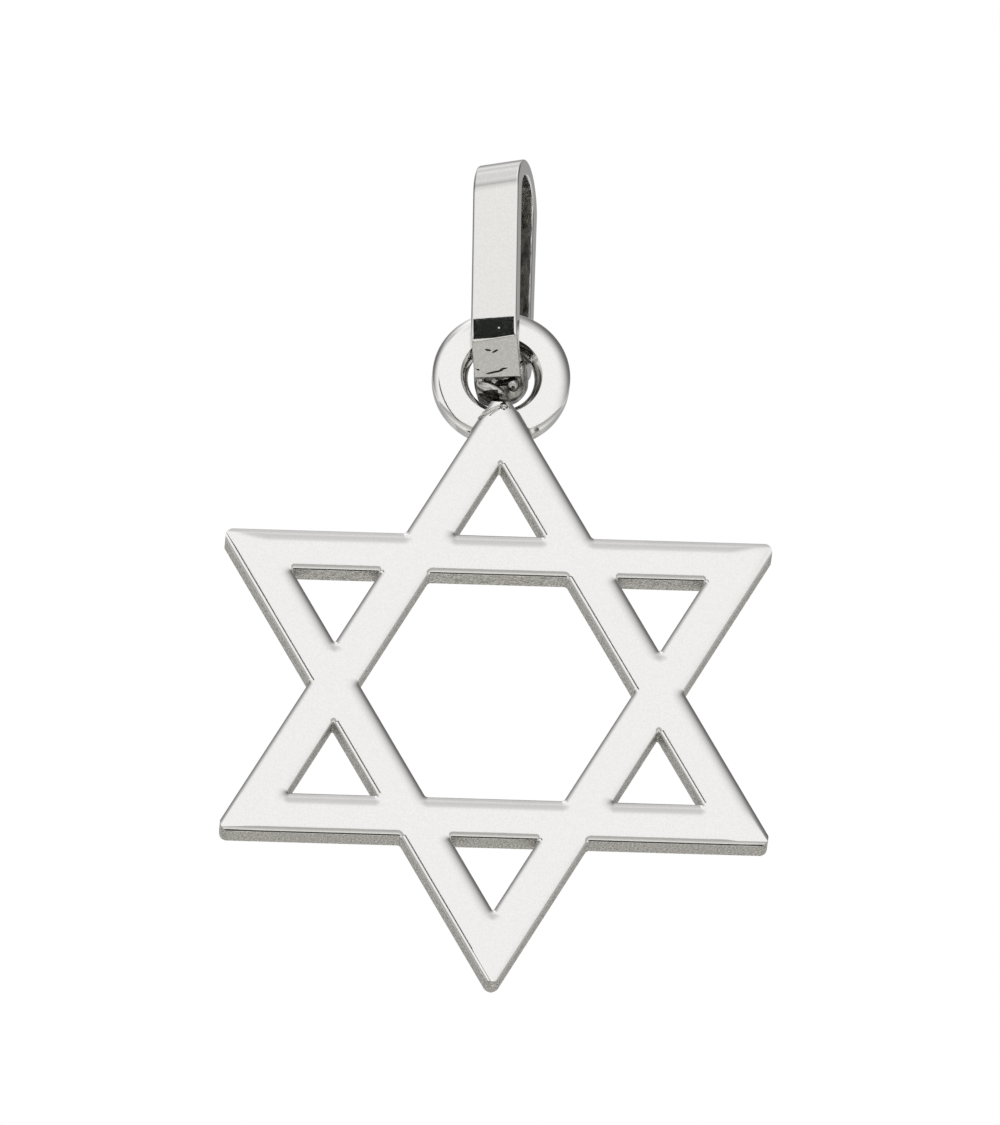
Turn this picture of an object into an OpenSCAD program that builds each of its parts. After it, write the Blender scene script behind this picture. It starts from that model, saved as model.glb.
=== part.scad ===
// Star of David pendant: a six-pointed star of flat bars, an eyelet ring soldered
// to its top point, and a bail folded from a flat strip that hangs it from a chain.
// Lengths are in millimetres, angles in degrees. The star faces -Y and hangs plumb.
// The origin is the inside of the bail's arch, straight above the middle of the star.

/* [Star] */
// Centre of the star to the sharp corner of a point
star_r = 9.2; // [8:0.1:11]
// Width of the bars
bar_w = 1.2; // [1:0.05:1.5]
// Thickness of the star
star_t = 1.0; // [0.8:0.05:1.2]
// Bevel along the edges of the bars
bar_bevel = 0.14; // [0.08:0.02:0.24]
// Rounding of the points, seen from the front
tip_round = 0.3; // [0.1:0.05:0.4]

/* [Eyelet ring] */
// Outer diameter of the ring
ring_d = 3.94; // [3.5:0.02:4.4]
// Narrowest diameter of its hole
ring_hole = 1.9; // [1.7:0.02:2.2]
// Thickness of the ring
ring_t = 0.72; // [0.56:0.02:0.8]
// Rounding of the ring's edges
ring_round = 0.25; // [0.1:0.01:0.27]
// Centre of the ring above the sharp corner of the top point
ring_lift = 0.34; // [0.2:0.02:0.5]

/* [Bail] */
// Width of the strip
bail_w = 1.34; // [1:0.01:1.4]
// Thickness of the strip
bail_t = 0.46; // [0.36:0.01:0.52]
// Room inside the arch, front to back
arch_room = 1.56; // [1.3:0.02:2]
// Room inside the loop, top to bottom
loop_room = 5.6; // [4.6:0.05:6.6]
// Inside radius of the two bends at the bottom
bend_r = 0.3; // [0.15:0.01:0.35]
// Turn of the bail away from the star's own plane
bail_turn = 15; // [0:1:16]
// Bevel along the edges of the strip
bail_bevel = 0.05; // [0.02:0.01:0.08]
// Length of front strip, above the bend, that bows inward
bow_h = 0.66; // [0.4:0.02:0.9]
// Radius of that bow
bow_r = 2.4; // [1.8:0.1:4]
// Height of the crease below that bow, above the start of the bend
crease_lift = 0.05; // [0:0.05:0.2]
// Slope of the flat below the crease, from level
fold_slope = 62; // [56:1:70]
// Length by which that flat runs on below the underside of the strip
fold_drop = 0.14; // [0.04:0.02:0.24]
// Depth of the second layer, folded under the strip
lap_t = 0.54; // [0.3:0.02:0.6]
// Widest half of that layer, measured from the ring's axis
lap_r = 0.68; // [0.5:0.02:0.72]

/* [Clearances] */
// Gap between the bail and the ring that hangs in it
link_gap = 0.07; // [0.05:0.01:0.12]

/* [Hidden] */
$fn = 96;

// The hole rests on the strip's two upper edges, so its chord sets the height
chord_half = bail_w / 2 / cos(bail_turn) + link_gap / 2;
seat_z = sqrt(pow(ring_hole / 2, 2) - pow(chord_half, 2)) - link_gap;

// Half of the room that the turned bail leaves for the ring, front to back
ring_room = ring_t / 2 / cos(bail_turn) + bail_w / 2 * tan(bail_turn) + link_gap;

// The arch: its front strand hangs straight down past the ring
arch_r = arch_room / 2;
arch_d = arch_r - ring_room;
arch_drop = sqrt(pow(arch_r, 2) - pow(arch_d, 2));

// Heights in the frame of the origin
ring_z = arch_drop - arch_r - loop_room - seat_z;
star_z = ring_z - ring_lift - star_r;

// Heights above the ring's centre, for the outline of the loop
arch_h = -arch_drop - ring_z;
bend_h = seat_z + bend_r;
bend_d = ring_room - bend_r;

// Slope of the rear strand, which is tangent to the arch and to the rear bend
rear_run = arch_h - bend_h;
rear_shift = bend_d - arch_d;
rear_lean = atan2(rear_run, rear_shift)
          - acos((arch_r - bend_r) / sqrt(pow(rear_run, 2) + pow(rear_shift, 2)));

// Crease below the bow of the front strand
crease_h = bend_h + crease_lift;
bow_top = crease_h + bow_h;
front_d = -ring_room - bail_t;
crease_d = front_d + bow_r - sqrt(pow(bow_r, 2) - pow(bow_h, 2));

// The second layer hangs below the strip's underside
lap_z = seat_z - bail_t - lap_t;
fold_z = seat_z - bail_t - fold_drop;
fold_d = crease_d + (crease_h - fold_z) / tan(fold_slope);

// The top point stops short of the bail when the star swings
strip_reach = norm([bail_w / 2 * cos(bail_turn) + (star_t / 2 + link_gap) * tan(bail_turn),
                    seat_z - bail_t]);
tip_clear = max(strip_reach, lap_r) + link_gap;

// Section across a side of a triangle, with the side at x = 0 and its inside at x < 0
module solid_section() {
    half = star_t / 2;
    deep = 2 * star_r;
    polygon([[0, half - bar_bevel], [-bar_bevel, half], [-deep, half],
             [-deep, -half], [-bar_bevel, -half], [0, bar_bevel - half]]);
}

// The same for the window that the bars leave open
module window_section() {
    half = star_t / 2;
    lip = bar_bevel - bar_w;
    deep = 2 * star_r;
    polygon([[-bar_w, half - bar_bevel], [lip, half], [lip, star_t], [-deep, star_t],
             [-deep, -star_t], [lip, -star_t], [lip, -half], [-bar_w, bar_bevel - half]]);
}

// What lies inside all three sides of a triangle that has one point straight down
module within_sides() {
    intersection_for(side = [0 : 2])
        rotate([0, 120 * side, 0])
            translate([0, 0, star_r / 2])
                rotate([0, 90, 0])
                    rotate([0, 0, 180])
                        linear_extrude(4 * star_r, center = true)
                            children();
}

// One of the two triangles: three bars, mitred where they meet
module triangle() {
    difference() {
        within_sides() solid_section();
        within_sides() window_section();
    }
}

// What rounding takes off a sharp point: all that lies beyond the disc that fits in it,
// cut off square to the point's two edges where the disc touches them
module point_trim() {
    corner = 2 * tip_round;
    side = corner * cos(30);
    rotate([90, 0, 0])
        difference() {
            linear_extrude(2 * star_t, center = true)
                polygon([[0, star_r - corner],
                         [side, star_r - corner / 2],
                         [side, star_r + corner],
                         [-side, star_r + corner],
                         [-side, star_r - corner / 2]]);
            translate([0, star_r - corner, 0])
                cylinder(r = tip_round, h = 3 * star_t, center = true);
        }
}

// Section of the ring: a block with four round corners
module ring_section() {
    width = (ring_d - ring_hole) / 2;
    middle = (ring_d + ring_hole) / 4;
    translate([middle, 0]) {
        square([width - 2 * ring_round, ring_t], center = true);
        square([width, ring_t - 2 * ring_round], center = true);
        for (x = [-1, 1], y = [-1, 1])
            translate([x * (width / 2 - ring_round), y * (ring_t / 2 - ring_round)])
                circle(r = ring_round);
    }
}

// The star and its ring, soldered into one piece
module star() {
    color("gainsboro") {
        translate([0, 0, star_z])
            difference() {
                union() {
                    triangle();
                    rotate([0, 180, 0])
                        triangle();
                }
                for (point = [0 : 5])
                    rotate([0, 60 * point, 0])
                        point_trim();
                translate([0, 0, star_r + ring_lift])
                    rotate([90, 0, 0])
                        cylinder(r = tip_clear, h = 3 * star_t, center = true);
            }
        translate([0, 0, ring_z])
            rotate([90, 0, 0])
                rotate_extrude()
                    ring_section();
    }
}

// Side view of the loop's room, or with grow, of the strip's outside.
// x runs to the back of the pendant and y up from the ring's centre.
module loop_area(grow) {
    arch = arch_r + grow;
    bend = bend_r + grow;
    lean = [cos(rear_lean), -sin(rear_lean)];
    translate([arch_d, arch_h])
        circle(r = arch);
    for (side = [-1, 1])
        translate([side * bend_d, bend_h])
            circle(r = bend);
    polygon([[arch_d - arch, arch_h],
             [arch_d + arch * lean[0], arch_h + arch * lean[1]],
             [bend_d + bend * lean[0], bend_h + bend * lean[1]],
             [bend_d, bend_h - bend],
             [-bend_d, bend_h - bend],
             [-bend_d - bend, bend_h]]);
}

// What the bow and the flat below it take off the front of the strip
module front_trim() {
    difference() {
        translate([front_d - bail_t, crease_h])
            square([2 * bail_t, bow_h]);
        translate([front_d + bow_r, bow_top])
            circle(r = bow_r);
    }
    polygon([[crease_d, crease_h],
             [fold_d, fold_z],
             [fold_d, lap_z - bail_t],
             [front_d - bail_t, lap_z - bail_t],
             [front_d - bail_t, crease_h]]);
}

// Second layer: the end of the rear strand, folded forward under the strip
module lap_area() {
    top = seat_z - bail_t / 2;
    rear = bend_d + bend_r / 2;
    polygon([[crease_d + (crease_h - top) / tan(fold_slope), top],
             [fold_d, fold_z],
             [fold_d + 0.55 * lap_t, fold_z + 0.12 * lap_t],
             [fold_d + 0.2 * lap_t, fold_z - 0.16 * lap_t],
             [fold_d + 0.3 * lap_t, lap_z + 0.36 * lap_t],
             [fold_d + 0.8 * lap_t, lap_z],
             [rear - 0.5 * lap_t, lap_z + 0.2 * lap_t],
             [rear, top]]);
}

// Stands a side view up and gives it the strip's width, with bevelled edges
module strip(cut) {
    rotate([90, 0, 90])
        linear_extrude(bail_w - 2 * cut, center = true)
            children();
}

// The bail: a strip folded into a loop through the ring
module bail() {
    color("silver")
        translate([0, 0, ring_z])
            rotate([0, 0, -bail_turn]) {
                strip(0)
                    difference() {
                        loop_area(bail_t - bail_bevel);
                        loop_area(bail_bevel);
                        front_trim();
                    }
                strip(bail_bevel)
                    difference() {
                        loop_area(bail_t);
                        loop_area(0);
                        front_trim();
                    }
                intersection() {
                    strip(bail_bevel)
                        difference() {
                            lap_area();
                            loop_area(0);
                        }
                    rotate([90, 0, bail_turn])
                        cylinder(r = lap_r, h = 4 * ring_t, center = true);
                }
            }
}

star();
bail();
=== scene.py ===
# %% [markdown]
# A star of David pendant, as a bench jeweller makes it: a flat open star cast in silver, a small
# eyelet ring soldered on edge to its top point, and a bail folded from flat strip that hangs in the
# ring. This lesson dresses the measured frame of that pendant with modelled pieces, polished and
# cast silver finishes, a pale floor and soft studio light. Shapes are drawn in millimetres and
# brought down to metres.

import math

import bmesh
import bpy
from mathutils import Matrix, Vector


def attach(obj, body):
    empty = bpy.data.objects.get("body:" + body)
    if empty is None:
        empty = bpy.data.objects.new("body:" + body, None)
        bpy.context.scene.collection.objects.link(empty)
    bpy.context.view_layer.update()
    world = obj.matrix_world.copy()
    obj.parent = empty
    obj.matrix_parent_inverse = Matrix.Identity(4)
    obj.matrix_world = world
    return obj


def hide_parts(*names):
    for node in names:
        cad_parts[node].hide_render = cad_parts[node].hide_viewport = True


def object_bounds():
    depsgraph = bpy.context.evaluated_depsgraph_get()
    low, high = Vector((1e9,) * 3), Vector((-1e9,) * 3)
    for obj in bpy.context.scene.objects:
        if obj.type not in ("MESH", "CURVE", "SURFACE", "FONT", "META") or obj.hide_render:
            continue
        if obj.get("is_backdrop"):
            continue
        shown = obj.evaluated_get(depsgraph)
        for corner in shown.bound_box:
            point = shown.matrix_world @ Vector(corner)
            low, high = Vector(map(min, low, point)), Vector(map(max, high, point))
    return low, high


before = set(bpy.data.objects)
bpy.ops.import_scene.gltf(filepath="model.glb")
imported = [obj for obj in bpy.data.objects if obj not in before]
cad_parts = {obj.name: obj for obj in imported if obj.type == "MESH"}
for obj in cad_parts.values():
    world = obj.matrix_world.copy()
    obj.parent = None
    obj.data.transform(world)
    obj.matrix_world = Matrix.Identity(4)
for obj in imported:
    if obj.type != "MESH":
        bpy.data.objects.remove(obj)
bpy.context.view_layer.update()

# %% [markdown]
# A jeweller starts from a sheet of sizes. These are the measured ones of the frame, in millimetres.
# They could be read back from the frame's boxes, but a box tells nothing of a bar or a hole. The
# star's middle and the ring's middle are heights under the inside of the bail's arch, which is the
# point that the chain holds.

# %% Sizes of the pendant
STAR_Z = -15.6957       # middle of the star
STAR_R = 9.2            # middle to the sharp corner of a point
BAR_W = 1.2             # width of a bar
STAR_T = 1.0            # thickness of the star
RING_Z = -6.15571       # middle of the eyelet ring
RING_R = 1.97           # outer radius of the ring
HOLE_R = 0.95           # its hole
RING_T = 0.72           # its thickness
TIP_CLEAR = 0.874       # room that the bail sweeps about the ring's axis
BAIL_TURN = 15          # degrees that the bail is turned from the star

MM = 0.001              # a millimetre in metres
print("star", round(STAR_R * math.sqrt(3), 2), "mm wide, ring", 2 * RING_R, "mm across")

# %% [markdown]
# The photograph was taken with a long lens from a little below and to the left of the star, so the
# undersides of the bars show. A camera far away with a long lens keeps the bars parallel in the
# same way. Its axes are worked out from those angles, and the picture's own small tilt is given to
# the camera.

# %% Camera
CAMERA_LEFT = math.radians(2.1)
CAMERA_BELOW = math.radians(21.2)
CAMERA_TILT = math.radians(0.92)
CAMERA_AWAY = 0.96                  # metres
VIEW_HEIGHT = 1125 / 35.22 * MM     # the picture's height in pixels, at its pixels to the millimetre
AIM_RIGHT, AIM_UP = 0.114, 3.677    # millimetres from the star's middle to the middle of the picture
FILM = 36                           # millimetres, the usual sensor

to_camera = Vector((-math.sin(CAMERA_LEFT) * math.cos(CAMERA_BELOW),
                    -math.cos(CAMERA_LEFT) * math.cos(CAMERA_BELOW),
                    -math.sin(CAMERA_BELOW)))
level_right = Vector((math.cos(CAMERA_LEFT), -math.sin(CAMERA_LEFT), 0))
level_up = to_camera.cross(level_right)
right = level_right * math.cos(CAMERA_TILT) + level_up * math.sin(CAMERA_TILT)
up = level_up * math.cos(CAMERA_TILT) - level_right * math.sin(CAMERA_TILT)

aim = Vector((0, 0, STAR_Z * MM)) + right * AIM_RIGHT * MM + up * AIM_UP * MM
bpy.ops.object.camera_add(location=aim + to_camera * CAMERA_AWAY)
camera = bpy.context.object
camera.rotation_euler = Matrix((right, up, to_camera)).transposed().to_euler()
camera.data.sensor_width = FILM
camera.data.lens = FILM * CAMERA_AWAY / VIEW_HEIGHT
bpy.context.scene.camera = camera
# the Standard view keeps white as white, as the photograph has it
bpy.context.scene.view_settings.view_transform = "Standard"
print("lens", round(camera.data.lens), "mm")

# %% [markdown]
# Every material below is a small tree of nodes. They could be wired by hand in the Shader Editor,
# but a script gives the same tree each time. One helper adds a node, sets what it is told and joins
# its inputs, and one turns a colour as a picture editor writes it into the linear light that
# Blender works in.

# %% Nodes and colours
def linear(code):
    """The colour #RRGGBB as linear red, green, blue and a full alpha."""
    parts = [int(code[i:i + 2], 16) / 255 for i in (1, 3, 5)]
    return [p / 12.92 if p <= 0.04045 else ((p + 0.055) / 1.055) ** 2.4 for p in parts] + [1]


def add(tree, kind, inputs=(), **settings):
    """A node of that kind. Inputs are (socket, value or the output that feeds it)."""
    node = tree.nodes.new(kind)
    for name, value in settings.items():
        setattr(node, name, value)
    for socket, value in inputs:
        if isinstance(value, bpy.types.NodeSocket):
            tree.links.new(value, node.inputs[socket])
        else:
            node.inputs[socket].default_value = value
    return node


print("middle grey #808080 is", round(linear("#808080")[0], 3), "in linear light")

# %% [markdown]
# Polished silver is a mirror, so what it shows is the room. Lamps and many cards could light it, as
# in a real studio, and each would leave a hard edge in the metal. The room here is a white tent
# instead: bright all round, with soft spots that are dimmer or brighter. They draw the grey
# outlines that polished edges show.

# %% Directions and soft spots of the tent
def toward(azimuth, elevation):
    """Direction from the pendant: azimuth 0 is in front, positive to the right, in degrees."""
    a, e = math.radians(azimuth), math.radians(elevation)
    return Vector((math.sin(a) * math.cos(e), -math.cos(a) * math.cos(e), math.sin(e)))


# direction, degrees from it to where the spot is full and to where it ends, and its light against
# the tent's
SOFT_SPOTS = [
    (-to_camera, 24, 46, 0.40),         # behind the pendant: the outlines of round edges
    (toward(84, 44), 10, 66, 0.16),     # right: the grey fade on bars that face up and right
    (toward(-86, 38), 8, 53, 0.18),     # left: the same on the other side
    (toward(1, 38), 2, 10, 0.74),       # over the camera: the soft line along level bars
    (toward(-28, 42), 1, 5, 0.6),       # the thin line where the bail's arch begins
    (toward(-58, 66), 10, 27, 1.7),     # a bright spot that whitens the arch
]
print("tent with", len(SOFT_SPOTS), "soft spots")

# %% White tent
world = bpy.data.worlds.new("white_tent")
bpy.context.scene.world = world
world.use_nodes = True
tent = world.node_tree
tent.nodes.clear()
look = add(tent, "ShaderNodeTexCoord").outputs["Generated"]
level = None
for axis, full, end, light in SOFT_SPOTS:
    near = add(tent, "ShaderNodeVectorMath", [(0, look), (1, axis)],
               operation="DOT_PRODUCT").outputs["Value"]
    here = add(tent, "ShaderNodeMapRange",
               [("Value", near), ("From Min", math.cos(math.radians(end))),
                ("From Max", math.cos(math.radians(full))), ("To Min", 1), ("To Max", light)],
               interpolation_type="SMOOTHSTEP").outputs["Result"]
    level = here if level is None else add(tent, "ShaderNodeMath", [(0, level), (1, here)],
                                           operation="MULTIPLY").outputs["Value"]
print(len(tent.nodes), "nodes for the light of the tent")

# %% Plain white behind the pendant
# the camera's own rays see plain white, and all others see the tent
seen = add(tent, "ShaderNodeLightPath").outputs["Is Camera Ray"]
room = add(tent, "ShaderNodeBackground", [("Color", (1, 1, 1, 1)), ("Strength", level)])
plain = add(tent, "ShaderNodeBackground", [("Color", (1, 1, 1, 1)), ("Strength", 1)])
mixed = add(tent, "ShaderNodeMixShader", [(0, seen), (1, room.outputs[0]), (2, plain.outputs[0])])
add(tent, "ShaderNodeOutputWorld", [("Surface", mixed.outputs[0])])
print("world", world.name)

# %% [markdown]
# Far below the pendant lies a plain pale floor of sprayed board. The floor could stand close under
# the pendant, but the photograph looks up at it, so the floor has to lie lower than any camera.
# Every new piece is made with nothing else selected, because an operator acts on all that is
# selected.

# %% Nothing selected
def clear_selection():
    """Object mode with nothing selected, so that an operator acts on the new piece alone."""
    if bpy.context.mode != "OBJECT":
        bpy.ops.object.mode_set(mode="OBJECT")
    bpy.ops.object.select_all(action="DESELECT")


print("still selected:", [piece.name for piece in bpy.context.selected_objects])
clear_selection()

# %% Matt boards
def matt(name, code):
    """Matt board of one colour, with the slight unevenness of a sprayed coat."""
    material = bpy.data.materials.new(name)
    material.use_nodes = True
    tree = material.node_tree
    tree.nodes.clear()
    where = add(tree, "ShaderNodeTexCoord").outputs["Object"]
    cloud = add(tree, "ShaderNodeTexNoise", [("Vector", where), ("Scale", 6), ("Detail", 3)])
    # a Mix node has sockets for each kind of value: 6, 7 and output 2 are the colours
    darker = [0.96 * part for part in linear(code)[:3]] + [1]
    coat = add(tree, "ShaderNodeMix", [(0, cloud.outputs["Fac"]), (6, linear(code)), (7, darker)],
               data_type="RGBA")
    skin = add(tree, "ShaderNodeBsdfPrincipled", [("Base Color", coat.outputs[2]), ("Roughness", 0.9)])
    add(tree, "ShaderNodeOutputMaterial", [("Surface", skin.outputs[0])])
    return material


def board(name, size, place, code):
    """A level board of that size at that place in metres, which belongs to the stage."""
    clear_selection()
    bpy.ops.mesh.primitive_plane_add(size=size, location=place)
    piece = bpy.context.object
    piece.name = name
    piece.data.materials.append(matt(name + "_paint", code))
    piece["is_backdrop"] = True
    return piece


FLOOR_WIDE = 19         # metres, so that it fills the picture from every side
FLOOR_HIGH = -1
floor = board("floor", FLOOR_WIDE, (0, 0, FLOOR_HIGH), "#F1F0ED")
print("floor", floor.dimensions.x, "m wide")

# %% [markdown]
# Silver needs something dark to mirror, or it looks like plaster. A photographer of jewellery sets
# dark cards in front, out of the camera's sight. One could be painted into the tent as another
# spot, but the spots are round and soft, and a real card's reflection has straight crisp edges. A
# narrow card stands front left, where only the bow above the bail's fold mirrors it. A dark table
# low in front gives the folded lip its grey.

# %% Dark card and dark table
CARD_AWAY = 1.3         # metres from the star's middle
CARD_TOWARD = (-26.4, 3.5)
CARD_WIDE, CARD_HIGH = 5, 30        # degrees, as the pendant sees it
TABLE_WIDE, TABLE_PLACE = 0.46, (0, -0.08, -0.3)    # metres

clear_selection()
out = toward(*CARD_TOWARD)
bpy.ops.mesh.primitive_plane_add(size=1, location=out * CARD_AWAY + Vector((0, 0, STAR_Z * MM)),
                                 rotation=(-out).to_track_quat("Z", "Y").to_euler())
bail_card = bpy.context.object
bail_card.name = "bail_card"
bail_card.scale = (2 * CARD_AWAY * math.tan(math.radians(CARD_WIDE / 2)),
                   2 * CARD_AWAY * math.tan(math.radians(CARD_HIGH / 2)), 1)
bail_card.data.materials.append(matt("bail_card_paper", "#0C110E"))
bail_card.visible_camera = False
bail_card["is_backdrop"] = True
dark_table = board("dark_table", TABLE_WIDE, TABLE_PLACE, "#2A2B29")
dark_table.visible_camera = False
print("card", [round(side, 2) for side in bail_card.dimensions[:2]], "m")

# %% [markdown]
# The floor still has to look white. A stronger tent would do it, and would wash out the metal too.
# So a soft box overhead lights the floor, and it is kept out of the mirror of the metal.

# %% Overhead soft box
SOFTBOX_HIGH, SOFTBOX_WIDE = 1.5, 2     # metres
SOFTBOX_WATTS = 61

clear_selection()
bpy.ops.object.light_add(type="AREA", location=(0, 0, SOFTBOX_HIGH))
softbox = bpy.context.object
softbox.name = "overhead_softbox"
softbox.data.size = SOFTBOX_WIDE
softbox.data.energy = SOFTBOX_WATTS
softbox.visible_glossy = False
softbox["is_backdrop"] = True
print("soft box of", softbox.data.energy, "watts")

# %% [markdown]
# All of the pendant is sterling silver under a thin rhodium plate, and its parts differ in how
# their surface was made. One kind of skin serves them all. Two close colours and a spread of
# roughness follow a fine grain, and two sizes of relief lie under it: long low waves from hand
# work, and the grain itself. A flat mirror would be simpler, and it would look like chrome.

# %% Silver skin
def metal(name, light, dark, rough, haze, wave, grain, along=1):
    """A silver finish: two colours, roughness and its spread, waves and grain, and a scale along Z.

    Wave and grain are each given as size and depth in millimetres.
    """
    material = bpy.data.materials.new(name)
    material.use_nodes = True
    tree = material.node_tree
    tree.nodes.clear()
    place = add(tree, "ShaderNodeTexCoord").outputs["Object"]
    where = add(tree, "ShaderNodeMapping", [("Vector", place), ("Scale", (1, 1, along))]).outputs[0]
    # a noise of scale s has bumps about 1/s across, so s is one over the size in metres
    waves = add(tree, "ShaderNodeTexNoise", [("Vector", where), ("Scale", 1 / (wave[0] * MM)),
                                             ("Detail", 1)]).outputs["Fac"]
    grains = add(tree, "ShaderNodeTexNoise", [("Vector", where), ("Scale", 1 / (grain[0] * MM)),
                                              ("Detail", 4)]).outputs["Fac"]
    tone = add(tree, "ShaderNodeValToRGB", [("Fac", grains)])
    for stop, position, code in zip(tone.color_ramp.elements, (0.35, 0.65), (dark, light)):
        stop.position, stop.color = position, linear(code)
    gloss = add(tree, "ShaderNodeMapRange", [("Value", grains), ("From Min", 0.3), ("From Max", 0.7),
                                             ("To Min", rough + haze), ("To Max", rough)])
    waved = add(tree, "ShaderNodeBump", [("Height", waves), ("Strength", 1),
                                         ("Distance", wave[1] * MM)])
    relief = add(tree, "ShaderNodeBump", [("Height", grains), ("Strength", 1),
                                          ("Distance", grain[1] * MM), ("Normal", waved.outputs[0])])
    skin = add(tree, "ShaderNodeBsdfPrincipled",
               [("Base Color", tone.outputs[0]), ("Metallic", 1), ("Roughness", gloss.outputs[0]),
                ("Normal", relief.outputs[0])])
    add(tree, "ShaderNodeOutputMaterial", [("Surface", skin.outputs[0])])
    return material


print("bumps of 2.2 mm are a noise of scale", round(1 / (2.2 * MM)))

# %% [markdown]
# Seven finishes stand for seven ways of working the same metal, and two of them, the inside of the
# bail and the creases, are also darkened as painted shade. The grain that a polishing wheel leaves is
# finer than a hundredth of a millimetre and can't show in the picture, so it is drawn at 0.06 mm and
# very shallow. That still takes the hardness off the mirror.

# %% Seven silver finishes
# star and ring, polished on a felt wheel and plated with rhodium: nearly white, a mirror with a
# soft haze and low waves
polished = metal("polished_silver_skin", "#F2F1EF", "#ECEBE9", rough=0.07, haze=0.05,
                 wave=(2.2, 0.012), grain=(0.06, 0.0004))
# walls of the star, left as the mould gave them: grey, satin and grained like the mould's plaster
cast = metal("cast_silver_wall", "#E6E4DF", "#9C9A93", rough=0.42, haze=0.16,
             wave=(0.6, 0.01), grain=(0.055, 0.016))
# outside of the bail, rolled strip polished flat: the sharpest mirror here, a shade greyer than
# the star
bail_face = metal("polished_bail_silver", "#E9E8E6", "#E2E1DE", rough=0.04, haze=0.03,
                  wave=(1.6, 0.004), grain=(0.06, 0.0003))
# inside of the bail and the back of the fold, where no wheel reaches: streaks that the rolling mill
# drew along the strip, and a dark colour that is painted shade for these hollows
bail_inside = metal("rolled_silver_inside_painted_shade", "#D2D0CA", "#4A4944", rough=0.22, haze=0.2,
                    wave=(0.5, 0.01), grain=(0.16, 0.02), along=0.35)
# lip and folded metal, squeezed flat between smooth pliers: a dull grey mirror
pressed = metal("silver_pressed_by_pliers", "#D2D1CD", "#C2C1BC", rough=0.14, haze=0.05,
                wave=(0.4, 0.005), grain=(0.05, 0.001))
# scratches, pits and gaps: tarnish and polishing soap in the scratches and pits, with painted shade
# laid over them, and painted shade alone in the gap under the lip and on the fold's lower left:
# nearly black and broken up
crease = metal("tarnish_and_painted_shade_in_creases", "#5A5852", "#1A1917", rough=0.35, haze=0.2,
               wave=(0.3, 0.01), grain=(0.07, 0.008))
# solder that froze by itself: silver with more copper in it, smooth, wavy and a little duller
solder_skin = metal("solder_silver", "#DEDDD9", "#C9C8C3", rough=0.12, haze=0.1,
                    wave=(0.3, 0.01), grain=(0.1, 0.004))
print("finishes", [material.name for material in
                   (polished, cast, bail_face, bail_inside, pressed, crease, solder_skin)])

# %% [markdown]
# At the bench, each piece is clamped, looked at and worked on alone. These helpers do the same:
# they open one piece in edit mode, pick parts of it by their place or direction, apply its
# modifiers, and cut one piece with another. A mesh could be written out point by point instead, but
# then no step could be followed by hand.

# %% Open a piece and pick parts of it
def edit(piece):
    """Opens the piece in edit mode, alone."""
    clear_selection()
    piece.select_set(True)
    bpy.context.view_layer.objects.active = piece
    bpy.ops.object.mode_set(mode="EDIT")


def pick(piece, kind, test):
    """Selects the piece's VERT, EDGE or FACE parts that pass the test, and tells how many there are."""
    bpy.ops.mesh.select_mode(type=kind)
    bpy.ops.mesh.select_all(action="DESELECT")
    mesh = bmesh.from_edit_mesh(piece.data)
    mesh.normal_update()
    parts = {"VERT": mesh.verts, "EDGE": mesh.edges, "FACE": mesh.faces}[kind]
    found = [part for part in parts if test(part)]
    for part in found:
        part.select_set(True)
    mesh.select_flush_mode()
    bmesh.update_edit_mesh(piece.data)
    return len(found)


# %% Apply, cut and check
def apply_all(piece):
    """Applies the piece's modifiers in their order."""
    clear_selection()
    piece.select_set(True)
    bpy.context.view_layer.objects.active = piece
    for name in [m.name for m in piece.modifiers]:
        bpy.ops.object.modifier_apply(modifier=name)


def combine(piece, tool, operation):
    """Joins the tool to the piece, cuts it off or keeps what they share, and throws the tool away."""
    step = piece.modifiers.new("combine", "BOOLEAN")
    step.object, step.operation, step.solver = tool, operation, "MANIFOLD"
    apply_all(piece)
    bpy.data.objects.remove(tool)


def faces_out(piece):
    """Merges doubles, points every face outwards and says whether the piece is closed."""
    edit(piece)
    bpy.ops.mesh.select_all(action="SELECT")
    bpy.ops.mesh.remove_doubles(threshold=0.0005)
    bpy.ops.mesh.normals_make_consistent(inside=False)
    mesh = bmesh.from_edit_mesh(piece.data)
    loose = sum(not e.is_manifold for e in mesh.edges)
    volume = mesh.calc_volume(signed=True)
    clear_selection()
    print(piece.name, len(piece.data.polygons), "faces,", loose, "open edges,",
          round(volume, 2), "cubic mm")


# %% [markdown]
# The wheel that polishes a casting doesn't leave it flat. It wears the front down towards every
# edge, in a low crown that ends in a crisp edge at the wall. A Bevel modifier gives only a round
# edge, so the crown is made of insets: each step draws the picked faces in and lifts them a little,
# along a quarter ellipse.

# %% Crown
# steps along the quarter ellipse, in degrees, finer at the outer edge where it is steep
CROWN_ANGLES = [math.radians(angle) for angle in (0, 7, 15, 25, 36, 47, 58, 69, 80, 90)]


def crown(piece, test, inward, rise):
    """Wears the picked flat faces down towards their edges, over that width and by that height."""
    pick(piece, "FACE", test)
    for start, end in zip(CROWN_ANGLES, CROWN_ANGLES[1:]):
        bpy.ops.mesh.inset(thickness=inward * (math.cos(start) - math.cos(end)),
                           depth=rise * (math.sin(end) - math.sin(start)), use_even_offset=True)


print("crown in", len(CROWN_ANGLES) - 1, "steps")

# %% [markdown]
# The star looks like two triangles of flat bar laid across each other, but it is cast in one plate
# with seven openings. It could be two frames joined by a Boolean, which stumbles on their shared
# flat faces. Here it is sawn as at the bench. A twelve-cornered blank is scribed by bisecting along
# both edges of every bar, and what lies in the openings is taken out. Three slanting seams stay,
# because a mesh can't have one face with holes in it.

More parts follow.
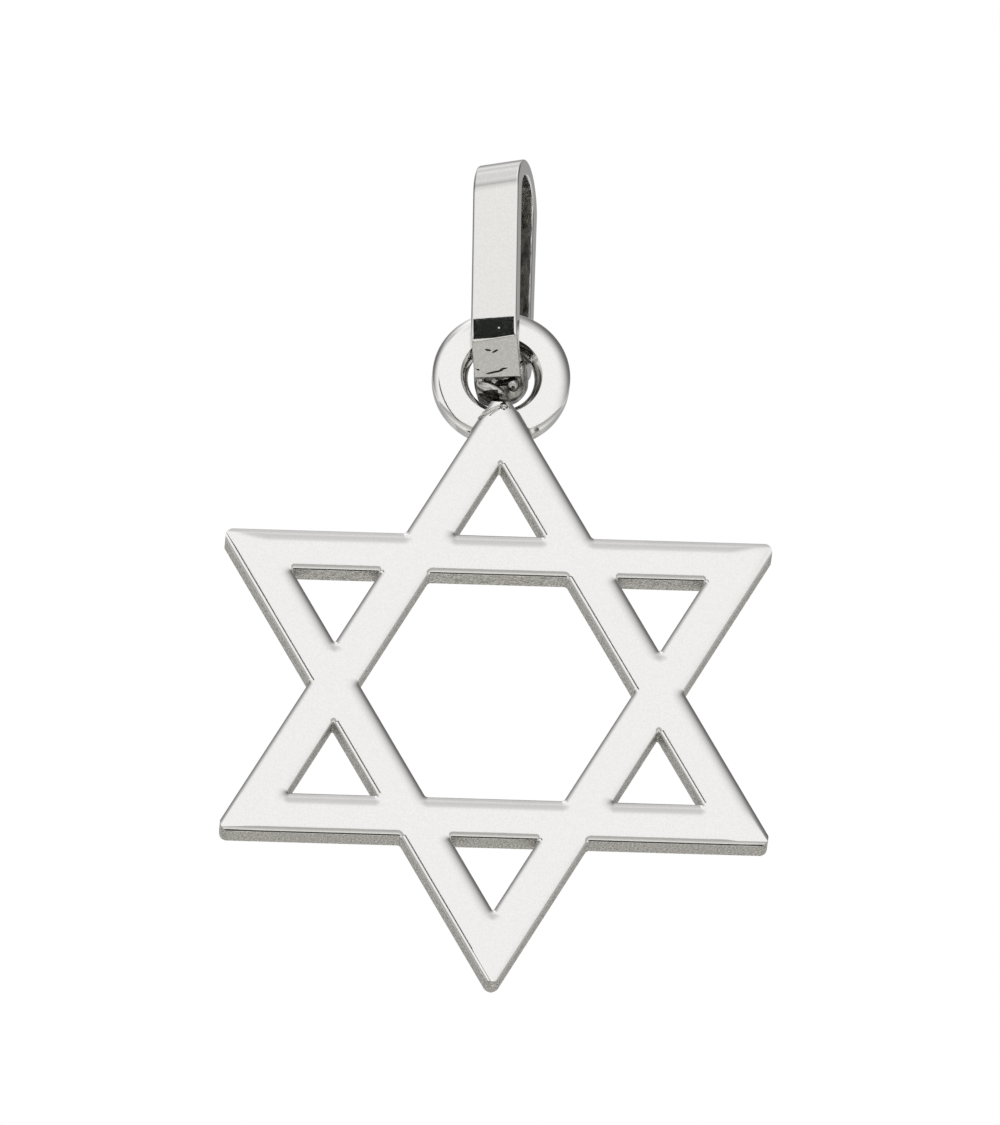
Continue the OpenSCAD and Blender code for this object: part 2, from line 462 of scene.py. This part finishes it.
# %% Lines to scribe
def clock(degrees):
    """Direction in the plane of the star, in degrees from straight up to the right."""
    return Vector((math.sin(math.radians(degrees)), 0, math.cos(math.radians(degrees))))


SIDE = STAR_R / 2                   # middle of the star to the outer edge of a bar
INSIDE = SIDE - BAR_W               # and to its inner edge
CROWN_IN, CROWN_UP = 0.52, 0.12     # width and height of the worn crown
POINTS = [clock(60 * k) for k in range(6)]
# directions upright to the seams, which run 7 degrees off a point
SEAMS = [clock(60 * k + 97) for k in range(3)]


def scribed(edge):
    """True for an edge that runs along a bar, as every scribed line does and no seam."""
    run = edge.verts[1].co - edge.verts[0].co
    return abs(math.degrees(math.atan2(run.x, run.z)) % 60 - 30) < 0.5


def in_opening(face):
    """True for a scribed cell that lies in the six-sided opening or in one of the small ones."""
    across = [face.calc_center_median() @ point for point in POINTS]
    return max(across) < INSIDE or any(
        across[k] > SIDE and across[k - 1] < INSIDE and across[(k + 1) % 6] < INSIDE for k in range(6))


print("bars between", SIDE, "and", round(INSIDE, 2), "mm from the middle")

# %% Scribe the blank and saw out the openings
clear_selection()
bpy.ops.mesh.primitive_circle_add(vertices=12, radius=STAR_R, fill_type="NGON",
                                  rotation=(math.pi / 2, 0, 0))
star = bpy.context.object
star.name = "star_frame"
bpy.ops.object.transform_apply(rotation=True)
edit(star)
pick(star, "VERT", lambda v: max(v.co.normalized() @ point for point in POINTS) < 0.99)
bpy.ops.transform.resize(value=(1 / math.sqrt(3), 1, 1 / math.sqrt(3)), center_override=(0, 0, 0))
for point in POINTS:
    for scribe in (SIDE, INSIDE):
        bpy.ops.mesh.select_all(action="SELECT")
        bpy.ops.mesh.bisect(plane_co=point * scribe, plane_no=point)
cells = pick(star, "FACE", in_opening)
bpy.ops.mesh.delete(type="FACE")
for seam in SEAMS:
    bpy.ops.mesh.select_all(action="SELECT")
    bpy.ops.mesh.bisect(plane_co=(0, 0, 0), plane_no=seam)
pick(star, "EDGE", lambda e: not e.is_boundary and scribed(e))
bpy.ops.mesh.dissolve_edges(use_verts=False)
print(cells, "cells sawn out")

# %% Give the star its thickness
bpy.ops.mesh.select_all(action="SELECT")
bpy.ops.mesh.remove_doubles(threshold=0.001)
bpy.ops.mesh.extrude_region_move(TRANSFORM_OT_translate={"value": (0, STAR_T - 2 * CROWN_UP, 0)})
bpy.ops.mesh.select_all(action="SELECT")
bpy.ops.transform.translate(value=(0, CROWN_UP - STAR_T / 2, 0))
faces_out(star)

# %% [markdown]
# A saw leaves the inner corners a little round, so their upright edges are bevelled first. Then the
# wheel goes over the front and the back. The six points come last. They could be bevelled too, but
# a hull drawn tight round six rods rounds them all alike in one cut. A round file hollows the top
# point, where the bail has to swing past it.

# %% Ease the corners and crown both faces
TIP_ROUND = 0.26        # radius of the six points
CORNER_EASE = 0.07      # and of the inner corners


def along_y(edge):
    """True for an edge that runs from the front of the star to its back."""
    a, b = edge.verts
    return abs(a.co.y - b.co.y) > 0.3 and (a.co.xz - b.co.xz).length < 0.01


edit(star)
corners = pick(star, "EDGE", lambda e: along_y(e) and e.calc_face_angle_signed() < -0.5)
bpy.ops.mesh.bevel(offset=CORNER_EASE, offset_type="OFFSET", segments=4, clamp_overlap=False)
crown(star, lambda f: f.normal.y < -0.9, CROWN_IN, CROWN_UP)
crown(star, lambda f: f.normal.y > 0.9, CROWN_IN, CROWN_UP)
print(corners, "inner corners")
faces_out(star)


# %% Hull round the six points
def hull(rods, length, axis, sides=64):
    """The hull drawn tight round some rods, given as place and radius, that lie along X or Y."""
    turn = {"X": (0, math.pi / 2, 0), "Y": (math.pi / 2, 0, 0)}[axis]
    clear_selection()
    made = []
    for place, radius in rods:
        bpy.ops.mesh.primitive_cylinder_add(vertices=sides, radius=radius, depth=length, location=place,
                                            rotation=turn)
        made.append(bpy.context.object)
    for rod in made:
        rod.select_set(True)
    bpy.ops.object.join()
    bpy.ops.object.transform_apply(location=True, rotation=True)
    piece = bpy.context.object
    edit(piece)
    bpy.ops.mesh.select_all(action="SELECT")
    bpy.ops.mesh.convex_hull(join_triangles=False)
    bpy.ops.mesh.select_all(action="SELECT")
    bpy.ops.mesh.dissolve_limited(angle_limit=math.radians(0.5))
    clear_selection()
    return piece


tips = hull([(point * (STAR_R - 2 * TIP_ROUND), TIP_ROUND) for point in POINTS], 3, "Y")
print("hull of", len(tips.data.polygons), "faces round the points")

# %% Round the points and file the top one
combine(star, tips, "INTERSECT")
clear_selection()
bpy.ops.mesh.primitive_cylinder_add(vertices=128, radius=TIP_CLEAR, depth=3,
                                    location=(0, 0, RING_Z - STAR_Z), rotation=(math.pi / 2, 0, 0))
combine(star, bpy.context.object, "DIFFERENCE")
print(len(star.data.polygons), "faces after filing")

# %% [markdown]
# Where the ring was soldered on, the heat left two pits in the star's point: a round one, and a
# long one beside it. Painted spots would vanish from the side, so each pit is cut with an egg of
# metal, which also serves later wherever a lump or a scratch is wanted.

# %% Pits at the root of the ring
def lump(place, size, turn=0):
    """An egg of metal, half as wide, deep and high as told, turned in the picture by some degrees."""
    clear_selection()
    bpy.ops.mesh.primitive_uv_sphere_add(segments=32, ring_count=16, radius=1, location=place,
                                         scale=size, rotation=(0, math.radians(turn), 0))
    return bpy.context.object


# place, half sizes in millimetres, and turn in the picture in degrees
PITS = [(Vector((0.08, -0.52, RING_Z - 1.0)), (0.14, 0.1, 0.12), 0),
        (Vector((-0.19, -0.52, RING_Z - 1.19)), (0.26, 0.07, 0.035), -38)]
for place, size, turn in PITS:
    combine(star, lump(place - Vector((0, 0, STAR_Z)), size, turn), "DIFFERENCE")
star.location = (0, 0, STAR_Z)
clear_selection()
star.select_set(True)
bpy.context.view_layer.objects.active = star
bpy.ops.object.transform_apply(location=True)
faces_out(star)

# %% [markdown]
# The eyelet ring could be a torus, but its front is flat and its hole is waisted like a barrel. So
# it is turned like work in a lathe: a disc whose front and back are taken in by insets. The first
# steps wear down the outer edge, then comes the flat, a crisp rim, and the steps that go down into
# the hole.

# %% Steps of the ring's turning
RIM_R = 1.155                       # the hole at its front and back
WORN_IN, WORN_UP = 0.42, 0.15       # width and height of the worn outer edge
RIM_EASE = 0.02                     # the crisp rim of the hole is only this blunt
BARREL = [0.88, 0.74, 0.6, 0.46, 0.32, 0.18, 0.05]      # depths of the steps, as parts of half the ring

# each step is how far in it goes and how far out of the face it rises
worn = [(WORN_IN * (math.cos(start) - math.cos(end)), WORN_UP * (math.sin(end) - math.sin(start)))
        for start, end in zip(CROWN_ANGLES, CROWN_ANGLES[1:])]
rim = [(RING_R - WORN_IN - RIM_R - RIM_EASE, 0), (RIM_EASE * 0.5, -RIM_EASE * 0.13),
       (RIM_EASE * 0.37, -RIM_EASE * 0.37)]
barrel = []
wide, deep = RIM_R + 0.13 * RIM_EASE, RING_T / 2 - 0.5 * RIM_EASE
for part in BARREL:
    to_wide, to_deep = HOLE_R + (RIM_R - HOLE_R) * part ** 2, part * RING_T / 2
    barrel.append((wide - to_wide, to_deep - deep))
    wide, deep = to_wide, to_deep
print(len(worn), "worn steps,", len(rim), "for the rim,", len(barrel), "for the hole")

# %% Eyelet ring
clear_selection()
bpy.ops.mesh.primitive_cylinder_add(vertices=128, radius=RING_R, depth=RING_T - 2 * WORN_UP,
                                    location=(0, 0, RING_Z), rotation=(math.pi / 2, 0, 0))
ring = bpy.context.object
ring.name = "eyelet_ring"
bpy.ops.object.transform_apply(location=True, rotation=True)
edit(ring)
for side in (-1, 1):
    pick(ring, "FACE", lambda f: f.normal.y * side > 0.9)
    for inward, out in worn + rim + barrel:
        bpy.ops.mesh.inset(thickness=inward, depth=out, use_even_offset=True)
    bpy.ops.mesh.delete(type="FACE")
pick(ring, "EDGE", lambda e: e.is_boundary)
bpy.ops.mesh.bridge_edge_loops()
clear_selection()
faces_out(ring)

# %% [markdown]
# Solder runs into the corners between the ring and the star's point and freezes there in small
# fillets. A bevel along the seam could make them, but the seam between two curved pieces is too
# ragged for it. So the two are joined in a copy, cut to the neighbourhood of the joint, turned to
# fine even quads and smoothed: that fills the hollows and pulls the rest under the surface, where
# it is hidden.

# %% Copies and gathered pieces
def copy_of(piece, name):
    """A copy of the piece with a mesh of its own."""
    twin = piece.copy()
    twin.data = piece.data.copy()
    twin.name = name
    bpy.context.collection.objects.link(twin)
    return twin


def gather(piece, others):
    """Joins the others to the piece as they stand. A voxel remesh afterwards makes them one skin."""
    clear_selection()
    for other in [piece] + others:
        other.select_set(True)
    bpy.context.view_layer.objects.active = piece
    bpy.ops.object.join()
    bpy.ops.object.transform_apply(location=True, rotation=True, scale=True)


print("solder starts from", len(ring.data.polygons) + len(star.data.polygons), "faces")

# %% Solder fillets
JOINT_DOWN, JOINT_R = 1.75, 1.25    # middle of the joint under the ring's, and its neighbourhood
FILLET_QUADS = 0.035                # size of the even quads
FLOW = 26                           # rounds of smoothing: more of them fill the hollows further
SINK = 0.012                        # how far the solder is drawn under the silver

solder = copy_of(ring, "solder")
combine(solder, copy_of(star, "star_copy"), "UNION")
clear_selection()
bpy.ops.mesh.primitive_uv_sphere_add(segments=48, ring_count=24, radius=JOINT_R,
                                     location=(0, 0, RING_Z - JOINT_DOWN))
combine(solder, bpy.context.object, "INTERSECT")
gather(solder, [lump((0.93, -0.2, RING_Z - 1.72), (0.24, 0.2, 0.13), -38)])     # a blob at the right
fine = solder.modifiers.new("quads", "REMESH")
fine.mode, fine.voxel_size = "VOXEL", FILLET_QUADS
soft = solder.modifiers.new("flow", "SMOOTH")
soft.factor, soft.iterations = 0.5, FLOW
sink = solder.modifiers.new("sink", "DISPLACE")
sink.strength, sink.mid_level = -SINK, 0
apply_all(solder)
faces_out(solder)

# %% [markdown]
# A drop of solder froze in the round pit, with a ridge running down to its left and a short one to
# its right. Three lumps stand for them. Joined by a Boolean they would meet in sharp lines, so they
# are gathered as they are, turned to one skin and smoothed.

# %% Solder bead
BEAD_QUADS = 0.015

bead = lump((0.08, -0.47, RING_Z - 1.06), (0.085, 0.07, 0.07))      # the drop
bead.name = "solder_bead"
gather(bead, [lump((-0.30, -0.42, RING_Z - 1.15), (0.44, 0.115, 0.06), -33),    # the long ridge
              lump((0.2, -0.42, RING_Z - 0.97), (0.15, 0.1, 0.05), 50)])        # and the short one
quads = bead.modifiers.new("quads", "REMESH")
quads.mode, quads.voxel_size = "VOXEL", BEAD_QUADS
soft = bead.modifiers.new("soft", "SMOOTH")
soft.factor, soft.iterations = 0.5, 4
apply_all(bead)
faces_out(bead)

# %% [markdown]
# The bail is one strip bent into a tall loop. A section could be swept along a bent curve, but the
# flats between the bends would then be hard to keep flat. So three rods stand where it bends, one
# in the arch and two at the foot, and a hull drawn tight round them is the loop's outside. An inset
# of the strip's thickness on both sides, with a bridge between, is its inside. It is drawn square
# to the view and turned at the end.

# %% Sizes of the bail
# in the bail's own frame: to the right, to the back and up from the ring's middle, in millimetres
BAIL_W = 1.34                               # width of the strip
BAIL_T = 0.46                               # and its thickness
ARCH = (0.157775, 5.39183, 0.78)            # place to the back, height and inside radius
BENDS = [(-0.322225, 0.839583, 0.3), (0.322225, 0.839583, 0.3)]
FRONT_D = -1.08223                          # depth of the strip's front
CREASE_H, CREASE_D = 0.889583, -0.989692    # height and depth of the crease above the fold
BOW_H, BOW_REST = 0.66, 0.092538            # height of the bow above it, and how far in it is pressed
FOLD_SLOPE = math.radians(62)               # slope of the flat below the crease, from level
FOLD_SKEW = 0.0206      # the fold is a little askew: this much deeper at its right, for each mm
FOLD_OUT = Vector((FOLD_SKEW, -math.sin(FOLD_SLOPE), -math.cos(FOLD_SLOPE))).normalized()
print("loop", round(ARCH[1] - BENDS[0][1] + ARCH[2] + BENDS[0][2], 2), "mm high inside")

# %% Loop of the bail
rods = [((0, back, high), inside + BAIL_T) for back, high, inside in [ARCH] + BENDS]
bail = hull(rods, BAIL_W, "X", 96)
bail.name = "bail_strip"
edit(bail)
sides = pick(bail, "FACE", lambda f: abs(f.normal.x) > 0.9)
bpy.ops.mesh.inset(thickness=BAIL_T, use_even_offset=True)
bpy.ops.mesh.delete(type="FACE")
pick(bail, "EDGE", lambda e: e.is_boundary)
bpy.ops.mesh.bridge_edge_loops()
clear_selection()
faces_out(bail)
print(sides, "sides")

# %% [markdown]
# The maker pressed the front of the strip inwards above the fold, in a shallow bow with a sharp
# crease under it. It could be pushed in by eye with proportional editing, and would come out
# different each time. Here rows of edges are cut across the front by bisecting, and each row is
# moved in by as much as the bow asks for. One more bisection takes the flat below the crease.

# %% Bow and crease
ROWS = 12
ARCH_ASKEW = 0.056      # the arch was bent a little askew: its right side stands higher than its left

edit(bail)
for row in range(ROWS + 1):
    pick(bail, "FACE", lambda f: f.calc_center_median().y < FRONT_D + BAIL_T + 0.05)
    bpy.ops.mesh.bisect(plane_co=(0, 0, CREASE_H + BOW_H * row / ROWS), plane_no=(0, 0, 1))
for row in range(ROWS):
    height = CREASE_H + BOW_H * row / ROWS
    pick(bail, "VERT", lambda v: abs(v.co.z - height) < 0.002 and v.co.y < FRONT_D + 0.002)
    bpy.ops.transform.translate(value=(0, BOW_REST * (1 - row / ROWS) ** 2, 0))
bpy.ops.mesh.select_all(action="SELECT")
bpy.ops.mesh.bisect(plane_co=(0, CREASE_D, CREASE_H), plane_no=FOLD_OUT, use_fill=True,
                    clear_outer=True)
for side in (-1, 1):
    pick(bail, "VERT", lambda v: v.co.z > ARCH[1] - 0.3 and v.co.x * side > 0)
    bpy.ops.transform.translate(value=(0, 0, side * ARCH_ASKEW))
clear_selection()
faces_out(bail)

# %% [markdown]
# Strip comes from the mill with edges that cut the finger, so the maker eases them with a file and
# the wheel. On the real bail they show as thin grey lines. A bevel of the long edges alone does
# that. A Bevel modifier would also soften the crease, which has to stay sharp. Above it a pinprick
# shows where the pliers slipped.

# %% Ease the long edges of the strip
EDGE_EASE = 0.08        # width of the eased edge
PINPRICK = ((0.157, -1.09, 1.16), (0.05, 0.05, 0.05))       # place and half sizes


def long_edge(edge):
    """True for an edge between a side of the strip and its outer or inner skin."""
    if len(edge.link_faces) != 2:
        return False
    flat = sorted(abs(f.normal.x) for f in edge.link_faces)
    return flat[0] < 0.3 and flat[1] > 0.9


edit(bail)
print(pick(bail, "EDGE", long_edge), "long edges")
bpy.ops.mesh.bevel(offset=EDGE_EASE, offset_type="OFFSET", segments=6, profile=0.6, clamp_overlap=False)
clear_selection()
combine(bail, lump(*PINPRICK), "DIFFERENCE")

# %% [markdown]
# At the foot the two ends of the strip are folded over each other and squeezed shut. The outer end
# is a flat lip under the crease, a thin plate with blunt edges. It could be part of the strip's
# mesh, but its corners were each bent a little differently, and a plate of its own can be set by
# its four corners.

# %% Lip of the fold
LIP_T, LIP_LONG = 0.14, 1.172       # thickness and length of the plate
LIP_PLACE = (0, -0.657, 0.396)
LIP_EASE = 0.045
# the plate's corners, by side and end, and how far each is raised along the slope
LIP_CORNERS = [(-1, -1, 0.034), (1, -1, 0.005), (-1, 1, -0.05), (1, 1, 0.06)]

clear_selection()
bpy.ops.mesh.primitive_cube_add(size=1, location=LIP_PLACE, scale=(BAIL_W, LIP_T, LIP_LONG),
                                rotation=(math.pi / 2 - FOLD_SLOPE, 0,
                                          math.asin(FOLD_OUT.x / math.sin(FOLD_SLOPE))))
lip = bpy.context.object
lip.name = "bail_lip"
bpy.ops.object.transform_apply(location=True, rotation=True, scale=True)
edit(lip)
pick(lip, "EDGE", lambda e: True)
bpy.ops.mesh.bevel(offset=LIP_EASE, offset_type="OFFSET", segments=4, clamp_overlap=True)
for side, end, rise in LIP_CORNERS:
    pick(lip, "VERT", lambda v: v.co.x * side > 0.3 and (v.co.z - LIP_PLACE[2]) * end > 0.3)
    bpy.ops.transform.translate(value=(0, -rise / math.tan(FOLD_SLOPE), rise))
clear_selection()
print("lip of", len(lip.data.polygons), "faces")

# %% [markdown]
# The pliers left a few scratches in the lip. A bump in the finish could draw them, but it would
# vanish at the edges and would not be part of the mesh. So each is a shallow cut with a long thin
# lump, tilted as in the photograph.

# %% Scratches on the lip
# place to the right and up, half length, and turn in the picture in degrees
SCRATCHES = [(-0.2, 0.587, 0.1, 14), (0.0, 0.548, 0.12, -26), (-0.55, 0.12, 0.09, 38),
             (-0.08, 0.02, 0.3, -9), (0.22, 0.1, 0.18, -16)]
SCRATCH_T = 0.03            # half thickness
SCRATCH_OUT = 0.01          # the lump's middle stands this far before the lip
# above this height the polished strip lies just behind the lip, and is scratched with it, a little more
STRIP_END, STRIP_MORE = 0.5, 0.01

for across, high, half, turn in SCRATCHES:
    on_lip = CREASE_D + ((high - CREASE_H) * FOLD_OUT.z + across * FOLD_OUT.x) / -FOLD_OUT.y
    place = (across, on_lip - SCRATCH_OUT, high)
    combine(lip, lump(place, (half, SCRATCH_T, SCRATCH_T), turn), "DIFFERENCE")
    if high > STRIP_END:
        deep = SCRATCH_T + STRIP_MORE
        combine(bail, lump(place, (half + STRIP_MORE, deep, deep), turn), "DIFFERENCE")
faces_out(lip)

# %% [markdown]
# The inner end of the strip comes forward below the lip as a leaf of metal, with a squeezed-out
# lump at its right and a gap above it. Sculpting would give such a form and nobody could repeat it.
# Here it is gathered from simple lumps on a hull, turned to one skin of even quads and smoothed a
# little, which leaves the soft creases that pliers leave. It is kept inside a cylinder, so that the
# star's filed point can swing past.

# %% Metal folded under the lip
FOLD_W = 1.44
FOLD_ROOM = 0.8             # radius of that cylinder
FOLD_QUADS = 0.022          # size of the even quads
# place and radius
FOLD_RODS = [((0, 0.16, 0.26), 0.27), ((0, -0.26, 0.14), 0.14), ((0, 0.04, -0.55), 0.24)]
# place, half sizes and turn in the picture
FOLD_LUMPS = [((-0.26, -0.29, -0.37), (0.47, 0.17, 0.17), 25),      # leaf
              ((0.42, -0.28, -0.28), (0.17, 0.20, 0.21), -14),      # squeezed-out lump
              ((-0.52, -0.16, -0.10), (0.19, 0.25, 0.24), 0),       # root of the leaf
              ((0.04, -0.24, -0.19), (0.38, 0.12, 0.06), 24),       # ridge above it
              ((-0.18, -0.14, -0.60), (0.34, 0.14, 0.07), 16)]      # ridge below it
# the faces in this cut are later painted near black, as painted shade in the gap
WEDGE = (Vector((0.18, -0.42, -0.23)), (0.36, 0.2, 0.1), -8)        # the gap under the lip

fold = hull(FOLD_RODS, FOLD_W, "X", 48)
fold.name = "bail_fold"
clear_selection()
bpy.ops.mesh.primitive_cylinder_add(vertices=96, radius=FOLD_ROOM, depth=3,
                                    rotation=(math.pi / 2, 0, math.radians(BAIL_TURN)))
combine(fold, bpy.context.object, "INTERSECT")
gather(fold, [lump(place, size, turn) for place, size, turn in FOLD_LUMPS])
quads = fold.modifiers.new("quads", "REMESH")
quads.mode, quads.voxel_size = "VOXEL", FOLD_QUADS
soft = fold.modifiers.new("soft", "SMOOTH")
soft.factor, soft.iterations = 0.5, 4
apply_all(fold)
combine(fold, lump(*WEDGE), "DIFFERENCE")
faces_out(fold)

# %% [markdown]
# The bail hangs a little turned against the star, as in the photograph. Its three pieces were drawn
# square to the view, which keeps every cut simple, and are turned together now. The turn is applied
# to their meshes, because the pattern of a finish would otherwise turn with the object.

# %% Turn the bail and place it
for piece in (bail, lip, fold):
    clear_selection()
    piece.select_set(True)
    bpy.context.view_layer.objects.active = piece
    piece.rotation_euler = (0, 0, -math.radians(BAIL_TURN))
    piece.location = (0, 0, RING_Z)
    bpy.ops.object.transform_apply(location=True, rotation=True)
print("bail turned by", BAIL_TURN, "degrees")

# %% [markdown]
# A mirror shows every fault in how faces are shaded. Shade Smooth alone would round the flats
# towards their edges, and flat shading would break the curves into strips. So each corner's normal
# is set by hand: flats keep their own direction, a curve next to a flat starts with the flat's, and
# faces more than 38 degrees apart stay crisp. The test "apart" keeps a crease where the angle is
# too small for that.

# %% Shade as flats and curves
CRISP = 38      # degrees between two faces, past which the edge between them stays crisp


def shade(piece, flat, apart, smooth=math.radians(CRISP)):
    """Keeps flat faces flat in the light and curves smooth, with a crease round the faces set apart."""
    mesh = piece.data
    kinds = [apart(face) for face in mesh.polygons]
    flats = [flat(face) for face in mesh.polygons]
    around = [[] for _ in mesh.vertices]
    for face in mesh.polygons:
        for vertex in face.vertices:
            around[vertex].append(face.index)
    normals = []
    for face in mesh.polygons:
        for vertex in face.vertices:
            near = [mesh.polygons[i] for i in around[vertex] if kinds[i] == kinds[face.index]
                    and mesh.polygons[i].normal.angle(face.normal, math.pi) < smooth]
            hard = [other for other in near if flats[other.index]]
            if flats[face.index] or not near:
                normals.append(face.normal.copy())
            elif hard:
                nearest = min(hard, key=lambda other: other.normal.angle(face.normal))
                normals.append(nearest.normal.copy())
            else:
                total = Vector()
                for other in near:
                    total += other.normal * other.area
                normals.append(total.normalized())
    mesh.shade_smooth()
    mesh.normals_split_custom_set(normals)


print("edges of over", CRISP, "degrees stay crisp")

# %% [markdown]
# Each piece gets its silver next. The pieces could be cut apart by finish, but a real wall and its
# polished face are one metal. So the finishes are material slots, given to faces that pass a test
# of place or direction. After that the piece is finished, and it is brought from millimetres down
# to metres.

# %% Give a piece its finishes
def to_metres(piece):
    """Brings a piece that was drawn in millimetres down to metres, with its place in its mesh."""
    clear_selection()
    piece.select_set(True)
    bpy.context.view_layer.objects.active = piece
    piece.scale = (MM, MM, MM)
    piece.location = piece.location * MM
    bpy.ops.object.transform_apply(location=True, rotation=True, scale=True)


def finish(piece, skins, flat, tests=(), apart=lambda face: False):
    """Gives the piece its finishes, each later one where its own test holds, and its shading."""
    piece.data.materials.clear()
    for skin in skins:
        piece.data.materials.append(skin)
    edit(piece)
    bpy.ops.mesh.select_all(action="SELECT")
    piece.active_material_index = 0
    bpy.ops.object.material_slot_assign()
    for slot, test in enumerate(tests, 1):
        pick(piece, "FACE", test)
        piece.active_material_index = slot
        bpy.ops.object.material_slot_assign()
    clear_selection()
    shade(piece, flat, apart)
    to_metres(piece)
    print(piece.name, len(piece.data.polygons), "faces with", [skin.name for skin in skins])


# %% [markdown]
# The wheel polished the star's two faces and never touched its walls, which keep the grey skin of
# the casting. Tarnish stays in the pits, with painted shade laid over it. The ring is polished all
# over, and the solder keeps the skin with which it froze.

# %% Finish the star, its ring and the solder
def within(point, place, size, turn):
    """True for a point in a lump of that place, size and turn, or just outside it."""
    near = Matrix.Rotation(-math.radians(turn), 3, "Y") @ (point - place)
    return sum((near[i] / size[i]) ** 2 for i in range(3)) < 1.1


def in_pit(face):
    """True for a small face inside one of the pits of the star's point."""
    return face.calc_area() < 0.05 and any(within(face.calc_center_median(), *pit) for pit in PITS)


finish(star, [polished, cast, crease],
       lambda f: abs(f.normal.y) > 0.9999 or (abs(f.normal.y) < 0.001 and f.area > 0.06),
       [lambda f: abs(f.normal.y) < 0.1, in_pit])
finish(ring, [polished], lambda f: abs(f.normal.y) > 0.9999)
finish(solder, [solder_skin], lambda f: False)
finish(bead, [solder_skin], lambda f: False)

# %% [markdown]
# On the bail, the outside is polished and the inside of the loop keeps the skin of the rolling
# mill, darkened with painted shade. The fold is pressed in front, and painted shade lies on its back,
# in the gap under the lip and on its lower left. The tests for that are easier to write in the frame
# in which the bail was drawn, so places and directions are turned back first.

# %% Where the bail's finishes go
LOOP_HEART = 0.08                   # middle of the loop's room, front to back
LIP_FLAT = 0.615                    # half width of the lip without its blunt edges
LIP_LOW, LIP_HIGH = -0.09, 0.83     # heights between which its scratches lie
# the fold's lower left is painted near black as painted shade, up to this height and this far right
SHADE_HIGH, SHADE_RIGHT = -0.47, 0.02     # top and right edge of the fold's dark lower left

turned = Matrix.Rotation(-math.radians(BAIL_TURN), 3, "Z")
lip_front = turned @ FOLD_OUT


def in_bail(face):
    """Middle of a face in the frame in which the bail was drawn."""
    return turned.inverted() @ (face.calc_center_median() - Vector((0, 0, RING_Z)))


def inside_of_loop(face):
    """True for a face on the inside of the bail's loop, or the inner side of its rear strand."""
    place = in_bail(face)
    way = turned.inverted() @ face.normal
    if abs(way.x) > 0.5:
        return False
    heart = Vector((0, LOOP_HEART, min(max(place.z, BENDS[0][1]), ARCH[1])))
    return (place - heart).dot(way) < 0


def scratched(face):
    """True for a face inside one of the scratches, of the lip or of the strip behind it."""
    place = in_bail(face)
    return (place.y < -0.4 and abs(place.x) < LIP_FLAT and LIP_LOW < place.z < LIP_HIGH
            and 0 < face.normal @ lip_front < 0.9995)


def in_crease(face):
    """True for a face in the gap under the lip or on the lower left of the fold, both painted shade."""
    place = in_bail(face)
    return within(place, *WEDGE) or (place.z < SHADE_HIGH and place.x < SHADE_RIGHT)


print("the lip faces", [round(part, 2) for part in lip_front])

# %% Finish the bail
# behind this depth the folded metal takes the dark inside finish, as painted shade under the lip
SQUEEZED = -0.365       # folded metal before this depth was pressed bright by the pliers

# the inside of the loop takes the rolled skin with painted shade, the scratches tarnish and painted
# shade
finish(bail, [bail_face, bail_inside, crease],
       lambda f: abs(f.normal @ (turned @ Vector((1, 0, 0)))) > 0.9999, [inside_of_loop, scratched],
       lambda f: f.normal @ lip_front > 0.9999)
finish(lip, [pressed, crease], lambda f: abs(f.normal @ lip_front) > 0.9999, [scratched])
finish(fold, [bail_inside, pressed, crease], lambda f: False,
       [lambda f: in_bail(f).y < SQUEEZED, in_crease])

# %% [markdown]
# Last, each piece is attached to the moving body that it rides on, and the part of the frame that it
# stands for is hidden. The box of the finished pieces, which look finer than the measured solids, is
# printed.

# %% Hand over
for piece in (star, ring, solder, bead):
    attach(piece, "star")
    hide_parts("star")
for piece in (bail, lip, fold):
    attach(piece, "bail")
    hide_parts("bail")

low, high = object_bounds()
print("visual", [round(v * 1000, 2) for v in low], [round(v * 1000, 2) for v in high], "mm")
